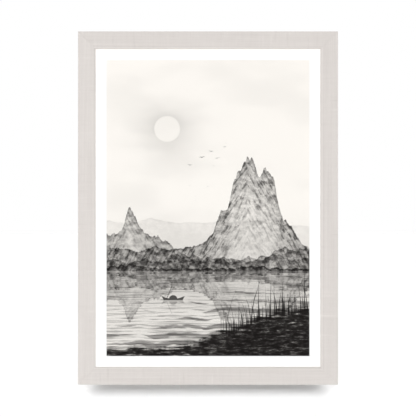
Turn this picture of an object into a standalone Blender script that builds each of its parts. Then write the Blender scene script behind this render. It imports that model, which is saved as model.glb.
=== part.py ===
"""A framed art print for the wall: an upright A3 picture behind glass in a limed wood frame.

Four mitred lengths of rebated moulding hold a stack of glass, print and backing board. Flexible steel
points keep the stack in the rebate, angled wedge nails tie the mitres, and a sawtooth hanger on the top
rail carries the frame. Two soft bumpers keep its lower edge off the wall.

Metres, +Z up. The picture faces -Y and the wall is the plane y = 0. The origin is the middle notch of the
sawtooth hanger, where the wall's nail carries the frame.
"""

import math

import bmesh
import bpy
from mathutils import Matrix, Vector

MM = 0.001
GAP = 0.3 * MM  # between a piece and the one that it rests on or goes into

# ---- driving dimensions ------------------------------------------------------------------------------
SIGHT_WIDTH = 297 * MM  # what the frame leaves open: an A3 sheet, upright
SIGHT_HEIGHT = 420 * MM

FACE = 23 * MM  # the moulding's width, seen from the front
DEPTH = 22 * MM  # the moulding's depth, front to back
LIP_WIDTH = 5 * MM  # how far the face reaches over the glass
LIP_THICKNESS = 5 * MM
ARRIS = 0.5 * MM  # the sanded rounding along the moulding's corners
ARRIS_SEGMENTS = 3

SHEET_PLAY = 1 * MM  # how much shorter a sheet is than the rebate, at each edge
GLASS_THICKNESS = 2 * MM
PRINT_THICKNESS = 0.5 * MM
BOARD_THICKNESS = 3 * MM
EDGE_BREAK = 0.25 * MM  # the chamfer along the edges of the glass and the board

POINT_LENGTH = 22 * MM  # a flexible point, the steel tab that holds the backing in
POINT_WIDTH = 7 * MM
POINT_THICKNESS = 0.6 * MM
POINT_BITE = 8 * MM  # how much of it is driven into the wood
POINT_TIP_RADIUS = 3.2 * MM
POINT_TIP_SEGMENTS = 6
POINTS_ACROSS = 2  # on the top rail, and on the bottom one
POINTS_UP = 3  # on each side rail

WEDGE_ARM = 7 * MM  # a wedge nail, an angle of steel driven across a mitre from behind
WEDGE_THICKNESS = 0.8 * MM
WEDGE_DEPTH = 10 * MM

HANGER_WIDTH = 46 * MM
HANGER_HEIGHT = 9 * MM
HANGER_THICKNESS = 0.8 * MM
HANGER_LIFT = 1.7 * MM  # how far its middle stands off its two ends
HANGER_RAMP = 3 * MM
HANGER_END = 9 * MM  # the flat part of each end, which takes a nail
TOOTH_PITCH = 2.4 * MM
TOOTH_DEPTH = 1.4 * MM
NOTCHES = 9  # odd, so that one notch is in the middle

PIN_RADIUS = 0.6 * MM
PIN_LENGTH = 8 * MM  # the part of a hanger's nail that is in the wood
PIN_HEAD_RADIUS = 1.8 * MM
PIN_HEAD_RIM = 0.15 * MM  # the straight edge of the head, under its dome
PIN_HEAD_DOME = 0.45 * MM

BUMPER_RADIUS = 5 * MM
BUMPER_HEIGHT = 2.5 * MM
BUMPER_FLAT_RADIUS = 3 * MM
BUMPER_FROM_CORNER = 28 * MM

TURN_STEPS = 32  # facets round a nail or a bumper
ARC_STEPS = 6  # facets along a quarter of a turned profile's round corner
OUTLINE_STEPS = 16  # facets along the half circle at each end of the hanger
MERGE = 0.01 * MM  # points of a turned profile this close to the axis become one
OVERCUT = 6 * MM  # how far a cutter runs past the surface that it opens

# ---- sizes that follow ---------------------------------------------------------------------------------
OUTER_WIDTH = SIGHT_WIDTH + 2 * FACE
OUTER_HEIGHT = SIGHT_HEIGHT + 2 * FACE
BACK_FACE = FACE - LIP_WIDTH  # the moulding's width behind the rebate
MID_BACK = BACK_FACE / 2

SHEET_WIDTH = SIGHT_WIDTH + 2 * (LIP_WIDTH - SHEET_PLAY)
SHEET_HEIGHT = SIGHT_HEIGHT + 2 * (LIP_WIDTH - SHEET_PLAY)
SHEET_SINK = SHEET_PLAY - GAP  # the sheets stand on the bottom rail's rebate

BACK_Y = -(BUMPER_HEIGHT + GAP)
FRONT_Y = BACK_Y - DEPTH
SHELF_Y = FRONT_Y + LIP_THICKNESS
GLASS_Y = SHELF_Y + GAP
PRINT_Y = GLASS_Y + GLASS_THICKNESS + GAP
BOARD_Y = PRINT_Y + PRINT_THICKNESS + GAP
POINT_Y = BOARD_Y + BOARD_THICKNESS + GAP

# The hanger's teeth hang below the middle of the top rail's back, with the middle notch at z = 0.
HANGER_Z = HANGER_HEIGHT / 2 - TOOTH_DEPTH
TOP_Z = HANGER_Z + MID_BACK
CENTRE_Z = TOP_Z - OUTER_HEIGHT / 2
HANGER_PIN_X = HANGER_WIDTH / 2 - HANGER_END / 2

# A rail's name, how far it is turned about Y from the bottom rail, its length, its distance from the
# centre to its outer edge, and its number of flexible points.
RAILS = (
    ("rail_bottom", 0, OUTER_WIDTH, OUTER_HEIGHT / 2, POINTS_ACROSS),
    ("rail_left", 90, OUTER_HEIGHT, OUTER_WIDTH / 2, POINTS_UP),
    ("rail_top", 180, OUTER_WIDTH, OUTER_HEIGHT / 2, POINTS_ACROSS),
    ("rail_right", 270, OUTER_HEIGHT, OUTER_WIDTH / 2, POINTS_UP),
)


# ---- scene, materials and small helpers ------------------------------------------------------------------
def clear_scene():
    """Removes what a new file holds, so that the collections below hold the whole object."""
    for obj in list(bpy.data.objects):
        bpy.data.objects.remove(obj, do_unlink=True)


def new_collection(name):
    """A collection of that name in the scene."""
    collection = bpy.data.collections.new(name)
    bpy.context.scene.collection.children.link(collection)
    return collection


def linear(hex_colour):
    """An sRGB hex colour as linear RGBA."""
    channels = [int(hex_colour[i : i + 2], 16) / 255 for i in (1, 3, 5)]
    curved = [c / 12.92 if c <= 0.04045 else ((c + 0.055) / 1.055) ** 2.4 for c in channels]
    return (*curved, 1)


def make_material(name, hex_colour, roughness, metallic=0, transmission=0):
    """A Principled material of one colour."""
    material = bpy.data.materials.new(name)
    material.use_nodes = True
    shader = material.node_tree.nodes["Principled BSDF"]
    shader.inputs["Base Color"].default_value = linear(hex_colour)
    shader.inputs["Roughness"].default_value = roughness
    shader.inputs["Metallic"].default_value = metallic
    shader.inputs["Transmission Weight"].default_value = transmission
    return material


def mesh_of(bm, name, closed=True):
    """The bmesh as a mesh. A closed one gets its faces turned outwards."""
    if closed:
        bmesh.ops.recalc_face_normals(bm, faces=bm.faces[:])
    mesh = bpy.data.meshes.new(name)
    bm.to_mesh(mesh)
    bm.free()
    return mesh


def push(bm, extruded, vector):
    """Moves what an extrusion has just made."""
    moved = [item for item in extruded["geom"] if isinstance(item, bmesh.types.BMVert)]
    bmesh.ops.translate(bm, vec=vector, verts=moved)


def strip_mesh(name, bends, run):
    """An open strip: a line through the bends, drawn out along one vector."""
    bm = bmesh.new()
    line = [bm.verts.new(bend) for bend in bends]
    edges = [bm.edges.new(pair) for pair in zip(line, line[1:])]
    push(bm, bmesh.ops.extrude_edge_only(bm, edges=edges), run)
    return mesh_of(bm, name, closed=False)


def thicken(obj, thickness, offset):
    """Gives a strip the thickness of its sheet metal: about its middle at offset 0, to one side at 1."""
    sheet = obj.modifiers.new("sheet", "SOLIDIFY")
    sheet.thickness = thickness
    sheet.offset = offset
    sheet.use_even_offset = True


def place(name, mesh, material, parent, location=(0, 0, 0), rotation=(0, 0, 0)):
    """An object of the finished frame, at a place in its parent's own frame."""
    obj = bpy.data.objects.new(name, mesh)
    if not mesh.materials:
        mesh.materials.append(material)
    obj.parent = parent
    obj.location = location
    obj.rotation_euler = rotation
    PARTS.objects.link(obj)
    return obj


def place_cutter(name, mesh, parent, location=(0, 0, 0), rotation=(0, 0, 0)):
    """A helper that cuts other pieces and is never rendered."""
    obj = bpy.data.objects.new(name, mesh)
    obj.parent = parent
    obj.location = location
    obj.rotation_euler = rotation
    obj.hide_render = True
    obj.display_type = "WIRE"
    CUTTERS.objects.link(obj)
    return obj


def combine(target, tool, operation="DIFFERENCE"):
    """A Boolean modifier on the target."""
    modifier = target.modifiers.new(tool.name, "BOOLEAN")
    modifier.operation = operation
    modifier.solver = "EXACT"
    modifier.object = tool


def add_box(bm, low, high):
    """A box between two corners."""
    low, high = Vector(low), Vector(high)
    matrix = Matrix.Translation((low + high) / 2) @ Matrix.Diagonal((*(high - low), 1))
    bmesh.ops.create_cube(bm, size=1, matrix=matrix)


def add_drill(bm, x, z, deep_y):
    """A cylinder for a nail's hole, from deep_y out past the back."""
    high_y = BACK_Y + OVERCUT
    matrix = Matrix.Translation((x, (deep_y + high_y) / 2, z)) @ Matrix.Rotation(math.radians(90), 4, "X")
    bmesh.ops.create_cone(
        bm,
        cap_ends=True,
        segments=TURN_STEPS,
        radius1=PIN_RADIUS + GAP,
        radius2=PIN_RADIUS + GAP,
        depth=high_y - deep_y,
        matrix=matrix,
    )


def turned(name, profile, material, location):
    """A round piece standing on the frame's back: (radius, height) points, from the axis at its top round
    to the axis at its foot, turned about the axis."""
    bm = bmesh.new()
    points = [bm.verts.new((radius, 0, height)) for radius, height in profile]
    for pair in zip(points, points[1:]):
        bm.edges.new(pair)
    away_from_back = (math.radians(-90), 0, 0)
    obj = place(name, mesh_of(bm, name, closed=False), material, None, location, away_from_back)
    turn = obj.modifiers.new("turn", "SCREW")
    turn.steps = TURN_STEPS
    turn.render_steps = TURN_STEPS
    turn.use_merge_vertices = True
    turn.merge_threshold = MERGE
    turn.use_smooth_shade = True
    return obj


def quarter_turn():
    """The angles from straight up to level, for the round corner of a turned profile."""
    return [math.pi / 2 * i / ARC_STEPS for i in range(ARC_STEPS + 1)]


def evenly_spaced(count, length):
    """The places of so many points along a rail, with half a space at each end."""
    return [length * ((i + 0.5) / count - 0.5) for i in range(count)]


# ---- the four rails --------------------------------------------------------------------------------------
def moulding_blank(length, drop):
    """A straight length of moulding with spare at both ends. In a rail's own frame the outer edge is down,
    at z = -drop, and the face is towards -Y."""
    outer, rebate, sight = -drop, -drop + BACK_FACE, -drop + FACE
    start = -length / 2 - OVERCUT
    section = (
        (FRONT_Y, outer),
        (BACK_Y, outer),
        (BACK_Y, rebate),
        (SHELF_Y, rebate),
        (SHELF_Y, sight),
        (FRONT_Y, sight),
    )
    bm = bmesh.new()
    corners = [bm.verts.new((start, y, z)) for y, z in section]
    bm.faces.new(corners)
    inner_corner = corners[3]
    bmesh.ops.bevel(
        bm,
        geom=[corner for corner in corners if corner is not inner_corner],
        offset=ARRIS,
        segments=ARRIS_SEGMENTS,
        profile=0.5,
        affect="VERTICES",
        material=-1,
    )
    push(bm, bmesh.ops.extrude_face_region(bm, geom=bm.faces[:]), (length + 2 * OVERCUT, 0, 0))
    return bm


def cut_mitre(bm, end, length, drop):
    """Saws one end of a blank at 45 degrees through the frame's corner. end is 1 or -1."""
    saw = bmesh.ops.bisect_plane(
        bm,
        geom=bm.verts[:] + bm.edges[:] + bm.faces[:],
        plane_co=(end * (length / 2 - GAP * math.sqrt(0.5)), 0, -drop),
        plane_no=Vector((end, 0, 1)).normalized(),
        clear_outer=True,
    )
    rim = [item for item in saw["geom_cut"] if isinstance(item, bmesh.types.BMEdge)]
    bmesh.ops.holes_fill(bm, edges=rim, sides=len(rim))


def cut_for_points(bm, count, length, drop):
    """The slots that the flexible points are driven into."""
    wall = -drop + BACK_FACE
    half = POINT_WIDTH / 2 + GAP
    for x in evenly_spaced(count, length):
        low = (x - half, POINT_Y - GAP, wall - POINT_BITE - GAP)
        high = (x + half, POINT_Y + POINT_THICKNESS + GAP, wall + OVERCUT)
        add_box(bm, low, high)


def cut_for_wedges(bm, length, drop):
    """The slots that one arm of each end's wedge nail goes into. They run out through the mitre."""
    half = WEDGE_THICKNESS / 2 + GAP
    middle = -drop + MID_BACK
    past_mitre = length / 2
    arm_end = length / 2 - MID_BACK - WEDGE_ARM - GAP
    for near, far in ((-past_mitre, -arm_end), (arm_end, past_mitre)):
        low = (near, BACK_Y - WEDGE_DEPTH - GAP, middle - half)
        high = (far, BACK_Y + OVERCUT, middle + half)
        add_box(bm, low, high)


def cut_for_hanger_pins(bm, drop):
    """The holes that the hanger's two nails go into."""
    for x in (-HANGER_PIN_X, HANGER_PIN_X):
        add_drill(bm, x, -drop + MID_BACK, BACK_Y - PIN_LENGTH - GAP)


def make_rail(name, turn, length, drop, points):
    """A rail of the frame, mitred at both ends, with the slots for what is driven into it."""
    bm = moulding_blank(length, drop)
    cut_mitre(bm, 1, length, drop)
    cut_mitre(bm, -1, length, drop)
    rotation = (0, math.radians(turn), 0)
    rail = place(name, mesh_of(bm, name), LIMED_WOOD, CENTRE, (0, 0, 0), rotation)

    bm = bmesh.new()
    cut_for_points(bm, points, length, drop)
    cut_for_wedges(bm, length, drop)
    if name == "rail_top":
        cut_for_hanger_pins(bm, drop)
    slots = place_cutter(f"{name}_slots", mesh_of(bm, f"{name}_slots"), CENTRE, (0, 0, 0), rotation)
    combine(rail, slots)
    return rail


# ---- the stack in the rebate -----------------------------------------------------------------------------
def make_sheet(name, front_y, thickness, material, edge_break=0):
    """A sheet that fills the rebate. Its face is at front_y, and its lower edge stands on the bottom rail."""
    half_width = SHEET_WIDTH / 2
    low_z = -SHEET_HEIGHT / 2 - SHEET_SINK
    bm = bmesh.new()
    add_box(bm, (-half_width, front_y, low_z), (half_width, front_y + thickness, low_z + SHEET_HEIGHT))
    if edge_break:
        bmesh.ops.bevel(
            bm, geom=bm.edges[:], offset=edge_break, segments=1, profile=0.5, affect="EDGES", material=-1
        )
    return place(name, mesh_of(bm, name), material, CENTRE)


def flexible_point_mesh():
    """A steel tab that lies along +Z from the end that is in the wood, with its free end rounded."""
    bm = bmesh.new()
    half = POINT_WIDTH / 2
    add_box(bm, (-half, 0, 0), (half, POINT_THICKNESS, POINT_LENGTH))
    tip = [
        edge
        for edge in bm.edges
        if all(vert.co.z > POINT_LENGTH - GAP for vert in edge.verts)
        and abs(edge.verts[0].co.x - edge.verts[1].co.x) < GAP
    ]
    bmesh.ops.bevel(
        bm,
        geom=tip,
        offset=POINT_TIP_RADIUS,
        segments=POINT_TIP_SEGMENTS,
        profile=0.5,
        affect="EDGES",
        material=-1,
    )
    return mesh_of(bm, "flexible_point")


def make_flexible_points(rail, mesh, length, drop, count):
    """The points along one rail, driven level with the back of the board."""
    side = rail.name.removeprefix("rail_")
    foot = -drop + BACK_FACE - POINT_BITE
    for number, x in enumerate(evenly_spaced(count, length), start=1):
        place(f"point_{side}_{number}", mesh, STEEL, rail, (x, POINT_Y, foot))


# ---- the wedge nails at the corners ------------------------------------------------------------------------
def make_wedges():
    """One wedge nail in each corner, an angle of sheet steel driven in from the back. It is turned so that
    its arms lie in the two rails that meet there."""
    arms = ((WEDGE_ARM, 0, 0), (0, 0, 0), (0, 0, WEDGE_ARM))
    mesh = strip_mesh("wedge_nail", arms, (0, -WEDGE_DEPTH, 0))
    across = OUTER_WIDTH / 2 - MID_BACK
    up = OUTER_HEIGHT / 2 - MID_BACK
    corners = (
        ("bottom_left", -across, -up, 0),
        ("top_left", -across, up, 90),
        ("top_right", across, up, 180),
        ("bottom_right", across, -up, 270),
    )
    for corner, x, z, turn in corners:
        rotation = (0, math.radians(turn), 0)
        wedge = place(f"wedge_nail_{corner}", mesh, STEEL, CENTRE, (x, BACK_Y, z), rotation)
        thicken(wedge, WEDGE_THICKNESS, 0)


# ---- the hanger, its nails and the bumpers -----------------------------------------------------------------
def hanger_outline():
    """The stamped outline, seen from behind: a plate with round ends and teeth along its lower edge."""
    radius = HANGER_HEIGHT / 2
    end_x = HANGER_WIDTH / 2 - radius
    half_turn = [math.pi * (i / OUTLINE_STEPS - 0.5) for i in range(OUTLINE_STEPS + 1)]
    right_end = [(end_x + radius * math.cos(a), HANGER_Z + radius * math.sin(a)) for a in half_turn]
    left_end = [(-x, 2 * HANGER_Z - z) for x, z in right_end]

    low = HANGER_Z - radius
    first_tip = -NOTCHES * TOOTH_PITCH / 2
    teeth = []
    for i in range(NOTCHES):
        teeth.append((first_tip + i * TOOTH_PITCH, low))
        teeth.append((first_tip + (i + 0.5) * TOOTH_PITCH, low + TOOTH_DEPTH))
    teeth.append((-first_tip, low))
    return right_end + left_end + teeth


def hanger_strip():
    """The bent strip, taller than the plate: flat ends on the wood, and a middle lifted off it. It is the
    face towards the wood, which is thickened away from it."""
    ramp_foot = HANGER_WIDTH / 2 - HANGER_END
    ramp_top = ramp_foot - HANGER_RAMP
    end = HANGER_WIDTH / 2 + OVERCUT
    seat = BACK_Y + GAP
    lifted = seat + HANGER_LIFT
    left_half = ((-end, seat), (-ramp_foot, seat), (-ramp_top, lifted))
    right_half = ((ramp_top, lifted), (ramp_foot, seat), (end, seat))
    below = HANGER_Z - HANGER_HEIGHT
    bends = [(x, y, below) for x, y in left_half + right_half]
    return strip_mesh("sawtooth_hanger", bends, (0, 0, 2 * HANGER_HEIGHT))


def make_hanger():
    """A stamped and bent sawtooth hanger, nailed across the back of the top rail."""
    hanger = place("sawtooth_hanger", hanger_strip(), STEEL, None)
    thicken(hanger, HANGER_THICKNESS, 1)

    bm = bmesh.new()
    outline = bm.faces.new([bm.verts.new((x, BACK_Y, z)) for x, z in hanger_outline()])
    push(bm, bmesh.ops.extrude_face_region(bm, geom=[outline]), (0, OVERCUT, 0))
    stamp = place_cutter("hanger_stamp", mesh_of(bm, "hanger_stamp"), None)
    combine(hanger, stamp, "INTERSECT")

    bm = bmesh.new()
    for x in (-HANGER_PIN_X, HANGER_PIN_X):
        add_drill(bm, x, HANGER_Z, BACK_Y)
    punch = place_cutter("hanger_punch", mesh_of(bm, "hanger_punch"), None)
    combine(hanger, punch)


def make_hanger_pins():
    """The two round-headed nails that hold the hanger."""
    under_head = 2 * GAP + HANGER_THICKNESS
    rim = under_head + PIN_HEAD_RIM
    dome = [(PIN_HEAD_RADIUS * math.sin(a), rim + PIN_HEAD_DOME * math.cos(a)) for a in quarter_turn()]
    profile = [
        *dome,
        (PIN_HEAD_RADIUS, under_head),
        (PIN_RADIUS, under_head),
        (PIN_RADIUS, PIN_RADIUS - PIN_LENGTH),
        (0, -PIN_LENGTH),
    ]
    for side, x in (("left", -HANGER_PIN_X), ("right", HANGER_PIN_X)):
        turned(f"hanger_nail_{side}", profile, STEEL, (x, BACK_Y, HANGER_Z))


def make_bumpers():
    """Two soft domed bumpers, stuck to the back of the bottom rail. Their flats meet the wall."""
    shoulder = BUMPER_RADIUS - BUMPER_FLAT_RADIUS
    foot = BUMPER_HEIGHT - shoulder
    flat = BUMPER_FLAT_RADIUS
    arc = [(flat + shoulder * math.sin(a), foot + shoulder * math.cos(a)) for a in quarter_turn()]
    profile = [(0, BUMPER_HEIGHT), *arc, (BUMPER_RADIUS, 0), (0, 0)]
    z = CENTRE_Z - OUTER_HEIGHT / 2 + MID_BACK
    reach = OUTER_WIDTH / 2 - BUMPER_FROM_CORNER
    for side, x in (("left", -reach), ("right", reach)):
        turned(f"bumper_{side}", profile, BUMPER_RUBBER, (x, BACK_Y + GAP, z))


# ---- the object --------------------------------------------------------------------------------------------
clear_scene()
PARTS = new_collection("framed_print")
CUTTERS = new_collection("cutters")

LIMED_WOOD = make_material("limed_wood", "#DED9D4", 0.55)
CLEAR_GLASS = make_material("clear_glass", "#FFFFFF", 0.02, transmission=1)
COTTON_PAPER = make_material("cotton_paper", "#F6F4F0", 0.8)
FIBREBOARD = make_material("fibreboard", "#A98259", 0.7)
STEEL = make_material("zinc_plated_steel", "#B9BBBD", 0.35, metallic=1)
BUMPER_RUBBER = make_material("clear_bumper_rubber", "#D8DADB", 0.3)

CENTRE = bpy.data.objects.new("frame_centre", None)
CENTRE.location = (0, 0, CENTRE_Z)
PARTS.objects.link(CENTRE)

POINT_MESH = flexible_point_mesh()
for rail_name, rail_turn, rail_length, rail_drop, rail_points in RAILS:
    made = make_rail(rail_name, rail_turn, rail_length, rail_drop, rail_points)
    make_flexible_points(made, POINT_MESH, rail_length, rail_drop, rail_points)

make_sheet("glazing", GLASS_Y, GLASS_THICKNESS, CLEAR_GLASS, EDGE_BREAK)
make_sheet("art_print", PRINT_Y, PRINT_THICKNESS, COTTON_PAPER)
make_sheet("backing_board", BOARD_Y, BOARD_THICKNESS, FIBREBOARD, EDGE_BREAK)

make_wedges()
make_hanger()
make_hanger_pins()
make_bumpers()
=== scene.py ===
# %% [markdown]
# # A framed art print
#
# This lesson dresses a picture frame: four mitred rails of limed ash, a sheet of glass, a paper print with
# a white margin, and the board and small steel parts that hold it together from behind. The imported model
# gives every size and place. Each piece is then either modelled again in finer form or given a finish.

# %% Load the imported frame
import math

import bmesh
import bpy
from mathutils import Matrix, Vector


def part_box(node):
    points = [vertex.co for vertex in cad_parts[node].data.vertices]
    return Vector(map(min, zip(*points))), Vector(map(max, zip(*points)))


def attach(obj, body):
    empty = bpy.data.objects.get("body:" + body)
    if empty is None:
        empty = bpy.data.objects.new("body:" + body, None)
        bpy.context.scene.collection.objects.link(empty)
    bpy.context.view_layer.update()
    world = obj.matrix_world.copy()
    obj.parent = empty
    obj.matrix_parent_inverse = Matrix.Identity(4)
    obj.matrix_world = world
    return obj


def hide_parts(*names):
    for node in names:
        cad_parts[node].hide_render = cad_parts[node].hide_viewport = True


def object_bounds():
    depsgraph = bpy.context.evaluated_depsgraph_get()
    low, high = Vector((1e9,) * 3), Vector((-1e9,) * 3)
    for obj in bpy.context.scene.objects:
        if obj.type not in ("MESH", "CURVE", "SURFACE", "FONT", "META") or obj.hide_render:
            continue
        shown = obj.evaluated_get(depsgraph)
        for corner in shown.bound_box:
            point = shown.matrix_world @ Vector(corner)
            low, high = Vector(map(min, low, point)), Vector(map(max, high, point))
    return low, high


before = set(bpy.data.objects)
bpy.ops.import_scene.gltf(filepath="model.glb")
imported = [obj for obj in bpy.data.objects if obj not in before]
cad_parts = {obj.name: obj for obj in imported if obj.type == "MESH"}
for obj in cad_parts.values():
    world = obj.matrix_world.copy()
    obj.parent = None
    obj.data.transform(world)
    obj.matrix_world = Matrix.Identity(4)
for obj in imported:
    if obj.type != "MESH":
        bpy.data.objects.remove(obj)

CAD_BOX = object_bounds()
print(len(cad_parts), "nodes, box", [tuple(round(v, 4) for v in corner) for corner in CAD_BOX])

# %% [markdown]
# ## Sizes
#
# A frame maker names a moulding by its face (how wide it looks from the front), its depth, and its rebate
# (the step at the back that takes the glass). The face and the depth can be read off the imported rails, and
# the rebate off the glass that stands in it, so nothing below is measured twice.

# %% Read the sizes
MM = 0.001
GAP = 0.3 * MM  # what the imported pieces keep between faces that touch

RAIL_LOW, RAIL_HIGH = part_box("rail_left")
GLASS_LOW, GLASS_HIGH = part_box("glazing")
TOP_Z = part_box("rail_top")[1].z
FOOT_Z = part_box("rail_bottom")[0].z
FRONT_Y, BACK_Y = RAIL_LOW.y, RAIL_HIGH.y
FACE = RAIL_HIGH.x - RAIL_LOW.x

OUTER_WIDTH = CAD_BOX[1].x - CAD_BOX[0].x
OUTER_HEIGHT = TOP_Z - FOOT_Z
CENTRE = Vector((0, 0, (TOP_Z + FOOT_Z) / 2))
LIP_WIDTH = FACE - (GLASS_LOW.z - GAP - FOOT_Z)  # how far the face reaches in over the glass
SHELF_Y = GLASS_LOW.y - GAP

print(f"face {FACE / MM:.1f} mm, frame {OUTER_WIDTH / MM:.0f} x {OUTER_HEIGHT / MM:.0f} mm")

# %% [markdown]
# ## Colours and nodes
#
# Colours are picked on a screen, so they are written as the sRGB hex values that a paint chart or an
# image editor shows. Blender computes with linear light, and one function converts them.
#
# A material is a tree of nodes. One small function adds a node, sets it up and fills its sockets, either in
# the order that the editor shows them or by name, and hands the node back so that the next one can use it.

# %% Helpers for colours and nodes
def linear(hex_colour):
    """An sRGB hex colour as linear RGBA."""
    channels = [int(hex_colour[i : i + 2], 16) / 255 for i in (1, 3, 5)]
    return (*[c / 12.92 if c <= 0.04045 else ((c + 0.055) / 1.055) ** 2.4 for c in channels], 1)


def add(tree, kind, inputs=(), **settings):
    """Adds a node. An input is a number or colour, or the node or socket that feeds it."""
    node = tree.nodes.new("ShaderNode" + kind)
    for name, setting in settings.items():
        setattr(node, name, setting)
    shown = [socket for socket in node.inputs if socket.enabled]
    by_name = isinstance(inputs, dict)
    pairs = [(node.inputs[n], v) for n, v in inputs.items()] if by_name else zip(shown, inputs)
    for socket, value in pairs:
        if isinstance(value, bpy.types.Node):
            value = next(output for output in value.outputs if output.enabled)
        if isinstance(value, bpy.types.NodeSocket):
            tree.links.new(value, socket)
        else:
            socket.default_value = value
    return node


def new_material(name):
    """A material and its node tree, which is empty."""
    material = bpy.data.materials.new(name)
    material.use_nodes = True
    material.node_tree.nodes.clear()
    return material, material.node_tree


print("white is", linear("#FFFFFF"))

# %% [markdown]
# ## The moulding
#
# The rails are cut from one length of moulding, so one function makes a length. The section starts as six
# vertices and one face: a broad flat front, square sides, and the step of the rebate. A vertex bevel rounds
# every corner but the one inside the step, as sandpaper would, and an extrusion draws the section out. The
# saw cuts at 45 degrees are two bisected planes. Modifiers on a box would work too, but this way the mesh
# is finished and easy to read.
#
# The rail is built lying along X with its outer edge down. Before it is turned into place, every vertex keeps
# its position in that first pose in an attribute called grain. The wood's pattern reads it, so the grain
# runs along each rail whichever way it ends up pointing.

# %% A length of moulding
ARRIS = 0.2 * MM  # the sanded rounding along the moulding's corners
ARRIS_SEGMENTS = 3
MITRE_GAP = 0.04 * MM  # half the glue line between two rails
SPARE = 5 * MM  # what the saw takes off past each mitre


def draw_out(bm, faces, by):
    """Extrudes faces along a vector, and returns all that is new."""
    new = bmesh.ops.extrude_face_region(bm, geom=faces)["geom"]
    moved = [item for item in new if isinstance(item, bmesh.types.BMVert)]
    bmesh.ops.translate(bm, vec=by, verts=moved)
    return new


def moulding_blank(length, drop):
    """A straight length with spare at both ends and its outer edge at z = -drop."""
    outer, rebate, sight = -drop, -drop + FACE - LIP_WIDTH, -drop + FACE
    start = -length / 2 - SPARE
    section = (
        (FRONT_Y, outer),
        (BACK_Y, outer),
        (BACK_Y, rebate),
        (SHELF_Y, rebate),
        (SHELF_Y, sight),
        (FRONT_Y, sight),
    )
    bm = bmesh.new()
    corners = [bm.verts.new((start, y, z)) for y, z in section]
    bm.faces.new(corners)
    bmesh.ops.bevel(
        bm,
        geom=[corner for corner in corners if corner is not corners[3]],
        offset=ARRIS,
        segments=ARRIS_SEGMENTS,
        profile=0.5,
        affect="VERTICES",
        material=-1,
    )
    draw_out(bm, bm.faces[:], (length + 2 * SPARE, 0, 0))
    return bm


def saw_mitre(bm, end, length, drop):
    """Cuts one end, 1 or -1, at 45 degrees through the frame's outer corner, and closes the cut."""
    cut = bmesh.ops.bisect_plane(
        bm,
        geom=bm.verts[:] + bm.edges[:] + bm.faces[:],
        plane_co=(end * (length / 2 - MITRE_GAP), 0, -drop),
        plane_no=Vector((end, 0, 1)).normalized(),
        clear_outer=True,
    )
    rim = [item for item in cut["geom_cut"] if isinstance(item, bmesh.types.BMEdge)]
    bmesh.ops.holes_fill(bm, edges=rim, sides=len(rim))


# %% [markdown]
# ## Handing a piece over
#
# Every new piece ends the same way. A Weighted Normal modifier lets the big flat faces decide the shading,
# so the thin roundings beside them don't smear across.

# %% The end of every piece
SHARP_FROM = 30  # degrees


def new_object(name, data):
    """Puts a mesh, lamp or camera into the scene."""
    holder = bpy.data.objects.new(name, data)
    bpy.context.scene.collection.objects.link(holder)
    return holder


def mesh_object(name, bm, material):
    """Turns a bmesh into an object of one material."""
    mesh = bpy.data.meshes.new(name)
    bm.to_mesh(mesh)
    bm.free()
    mesh.materials.append(material)
    return new_object(name, mesh)


def finish_piece(name, bm, material, slot, *replaced):
    """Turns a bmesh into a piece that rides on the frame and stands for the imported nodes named."""
    bmesh.ops.recalc_face_normals(bm, faces=bm.faces[:])
    piece = mesh_object(name, bm, material)
    piece.data.shade_smooth()
    piece.data.set_sharp_from_angle(angle=math.radians(SHARP_FROM))
    weighted = piece.modifiers.new("weighted normals", "WEIGHTED_NORMAL")
    weighted.keep_sharp = True
    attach(piece, "root")
    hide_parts(*replaced)
    print(f"{name}: {len(piece.data.polygons)} faces")


# %% [markdown]
# ## Limed ash
#
# The rails are ash, brushed along the grain, limed with a white wax and wiped back with a cloth. To the eye
# that is a matt, warm off-white with faint streaks a few millimetres wide along the rail, finer open pores,
# the weave of the cloth across the grain, and here and there a clear mark where the cloth was set down. The
# wax stops where the moulding turns its back: the rear face and the rebate are bare wood, with a little
# overlap along the outer edge.
#
# Every pattern is a noise texture whose cell is given in millimetres along, into and across the rail. The
# patterns are added up to one lightness, which picks a colour between a shaded and a pale lime. Ash pores
# are about 0.3 mm wide. They are drawn three times as coarse, because at their true size they could not be
# seen from where the camera stands.

# %% The limed finish
LIME_SHADE = "#C2BCB8"
LIME_PALE = "#E0DBD7"
BARE_ASH = "#DCC6A3"
BARE_ASH_DARK = "#BC9F76"
OPEN_PORE = "#A58357"

BRUSHED = (170, 6, 2.6)  # millimetres along, into and across the rail
THICK_WAX = (60, 60, 14)
PORES = (9, 1, 0.9)
CLOTH = (1.6, 40, 30)
CLOTH_MARKS = (4, 90, 34)
SIGHT_STREAKS = (900, 6, 1.8)
GROWTH = (240, 9, 3.2)
RAGGED = (7, 7, 7)
LIMED_PATTERNS = ((BRUSHED, 0.45), (THICK_WAX, 0.3), (PORES, 0.22), (CLOTH, 0.18))  # and how strong each is
MARK_STRENGTH = 6.5
STREAK_STRENGTH = 2
STREAK_REACH = 8 * MM  # how far the streaks reach from the opening
OVERLAP = 1.6 * MM  # how far the wax reaches round the outer edge


def grain_noise(tree, grain, cell, detail=3, roughness=0.55):
    """Noise with cells of that size, in millimetres, along, into and across the grain."""
    scaled = add(tree, "VectorMath", (grain, [1 / (size * MM) for size in cell]), operation="MULTIPLY")
    return add(tree, "TexNoise", (scaled, 1, detail, roughness))


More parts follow.
